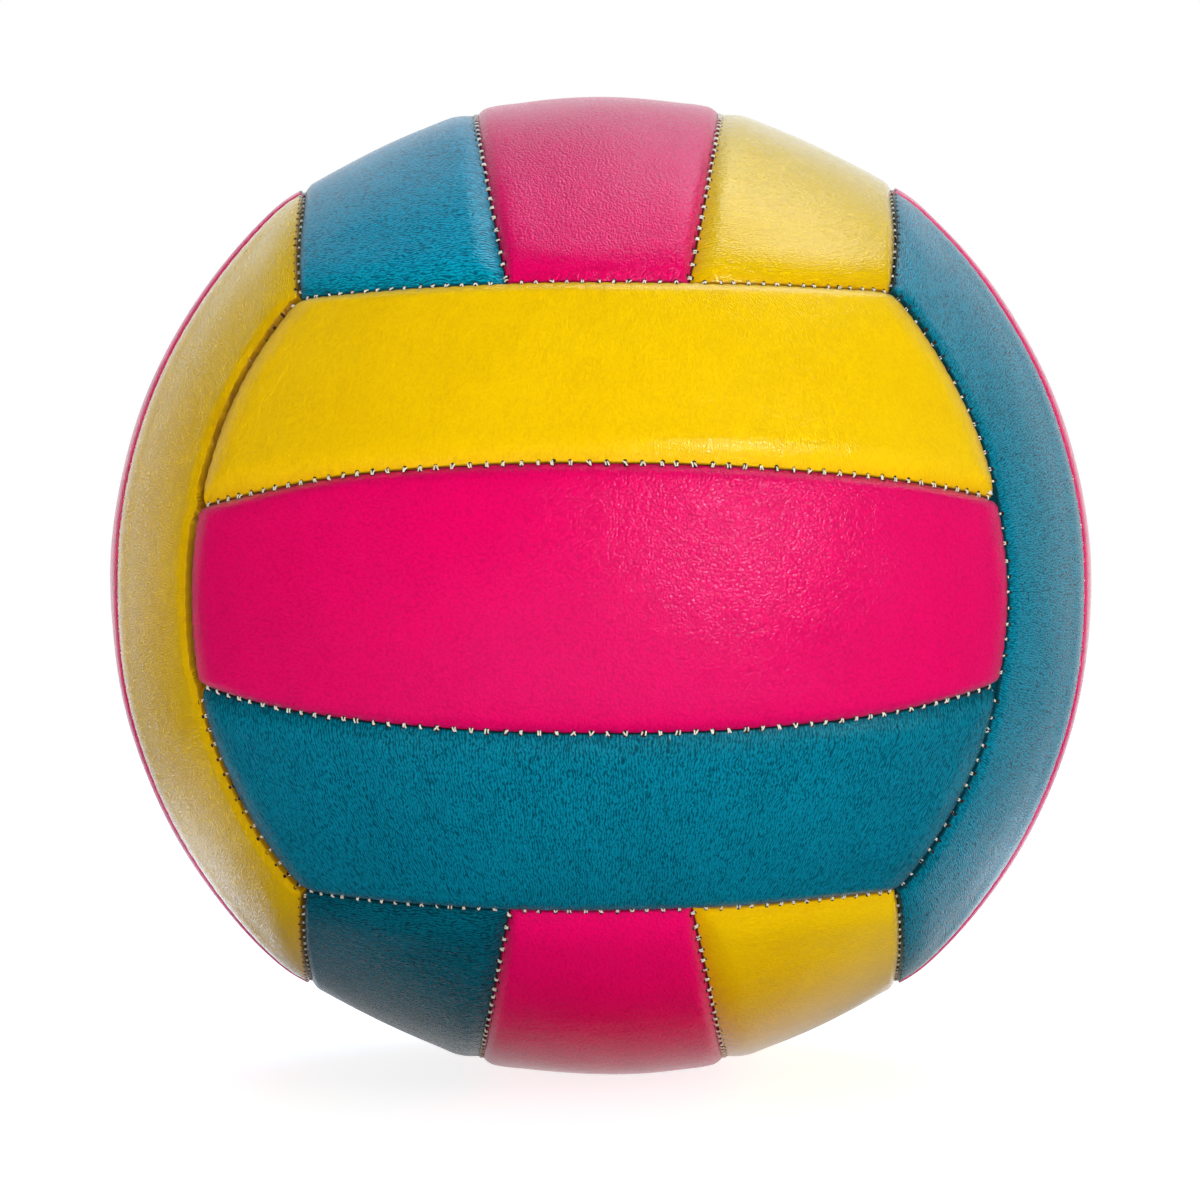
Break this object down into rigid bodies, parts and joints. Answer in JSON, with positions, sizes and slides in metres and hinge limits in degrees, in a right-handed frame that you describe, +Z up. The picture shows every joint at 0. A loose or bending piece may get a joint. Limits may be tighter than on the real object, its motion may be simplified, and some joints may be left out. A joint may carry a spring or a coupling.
{
  "type": "volleyball",
  "caption": "Padded beach volleyball of sewn strips in yellow, magenta and teal, with a rubber bladder and a needle valve.",
  "frame": {"origin": "the ball's centre", "axes": "-Y is the face with its strips level, as the picture shows it; +Z is up; +Y runs out through the valve"},
  "size_m": [0.2124, 0.2124, 0.2124],
  "materials": {
    "cover_yellow": "satin",
    "cover_magenta": "satin",
    "cover_teal": "satin",
    "foam": "matte",
    "lining": "matte",
    "thread": "matte",
    "bladder": "satin",
    "valve_housing": "satin",
    "valve_core": "satin"
  },
  "bodies": {
    "root": {"panel_front_top": "cover_yellow", "panel_front_middle": "cover_magenta", "panel_front_bottom": "cover_teal", "panel_back_top": "cover_teal", "panel_back_middle": "cover_magenta", "panel_back_bottom": "cover_yellow", "panel_left_back": "cover_teal", "panel_left_middle": "cover_magenta", "panel_left_front": "cover_yellow", "panel_right_front": "cover_teal", "panel_right_middle": "cover_magenta", "panel_right_back": "cover_yellow", "panel_top_left": "cover_teal", "panel_top_middle": "cover_magenta", "panel_top_right": "cover_yellow", "panel_bottom_right": "cover_yellow", "panel_bottom_middle": "cover_magenta", "panel_bottom_left": "cover_teal", "foam_front_top": "foam", "foam_front_middle": "foam", "foam_front_bottom": "foam", "foam_back_top": "foam", "foam_back_middle": "foam", "foam_back_bottom": "foam", "foam_left_back": "foam", "foam_left_middle": "foam", "foam_left_front": "foam", "foam_right_front": "foam", "foam_right_middle": "foam", "foam_right_back": "foam", "foam_top_left": "foam", "foam_top_middle": "foam", "foam_top_right": "foam", "foam_bottom_right": "foam", "foam_bottom_middle": "foam", "foam_bottom_left": "foam", "lining_front": "lining", "lining_back": "lining", "lining_left": "lining", "lining_right": "lining", "lining_top": "lining", "lining_bottom": "lining", "thread_front": "thread", "thread_back": "thread", "thread_left": "thread", "thread_right": "thread", "thread_top": "thread", "thread_bottom": "thread", "bladder": "bladder", "valve_housing": "valve_housing", "valve_core": "valve_core"}
  },
  "joints": []
}
